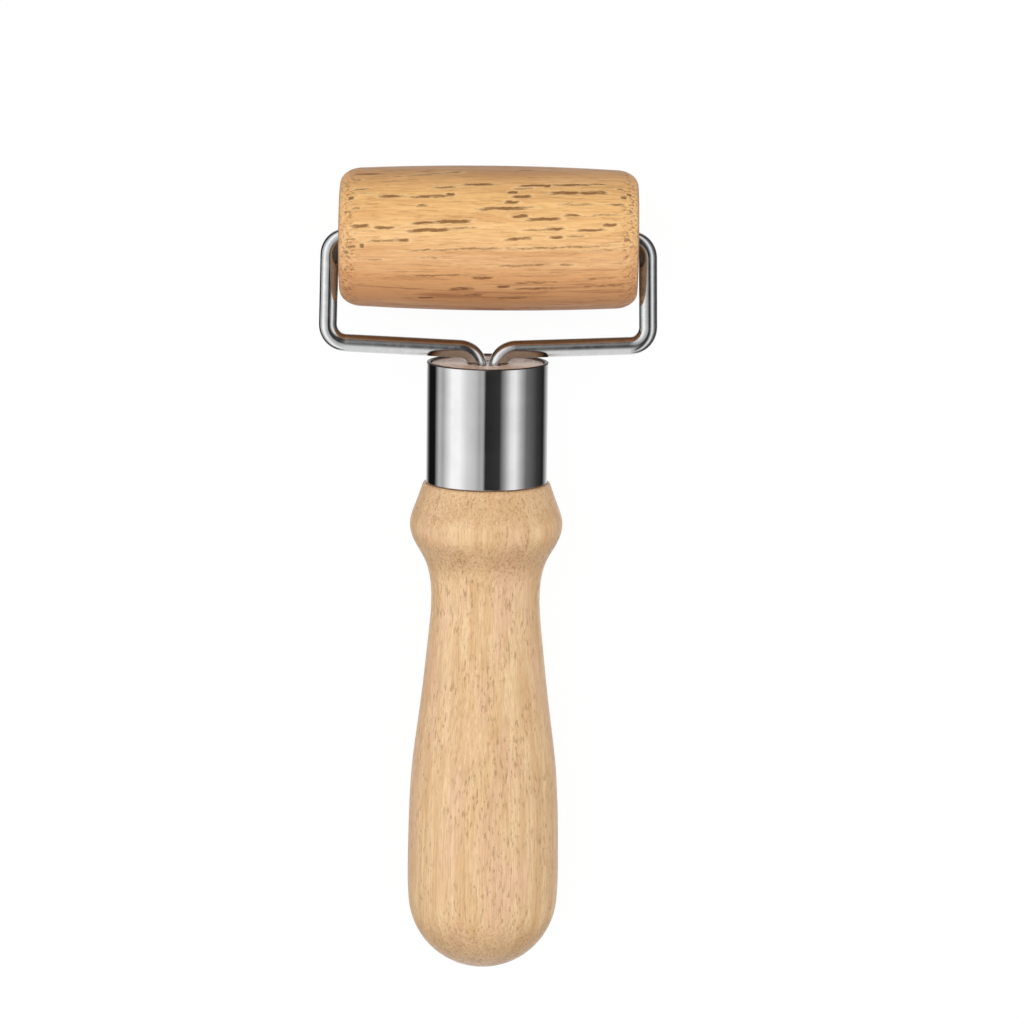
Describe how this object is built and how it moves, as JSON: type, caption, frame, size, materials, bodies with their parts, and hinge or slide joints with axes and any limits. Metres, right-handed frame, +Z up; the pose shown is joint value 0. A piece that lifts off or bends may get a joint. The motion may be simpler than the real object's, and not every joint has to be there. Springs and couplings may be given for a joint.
{
  "type": "wooden hand roller",
  "caption": "Small hand roller: a smooth wooden drum spins on a bent wire frame whose tails are bonded into a turned wooden handle with a steel ferrule.",
  "frame": {"origin": "middle of the tool's length and width, on the table under the handle's bead", "axes": "+X along the drum's axle, +Y along the handle's axis from its tail towards the drum, +Z up from the table the tool lies on"},
  "size_m": [0.0704, 0.1706, 0.032],
  "materials": {
    "handle_wood": "pale hardwood, sanded, thin clear coat",
    "drum_wood": "golden hardwood with open pores, sanded smooth",
    "ferrule_steel": "mirror polished",
    "wire_steel": "bright drawn wire",
    "adhesive": "cured amber resin",
    "bush_nylon": "dark grey nylon"
  },
  "bodies": {
    "holder": {"handle": "handle_wood", "ferrule": "ferrule_steel", "wire_frame": "wire_steel", "tail_adhesive": "adhesive"},
    "roller": {"drum": "drum_wood", "left_bush": "bush_nylon", "right_bush": "bush_nylon"}
  },
  "joints": [
    {"name": "roller_spin", "type": "hinge", "parent": "holder", "child": "roller", "pos_m": [0, 0.0703, 0.016], "axis": [1, 0, 0], "continuous": true}
  ]
}
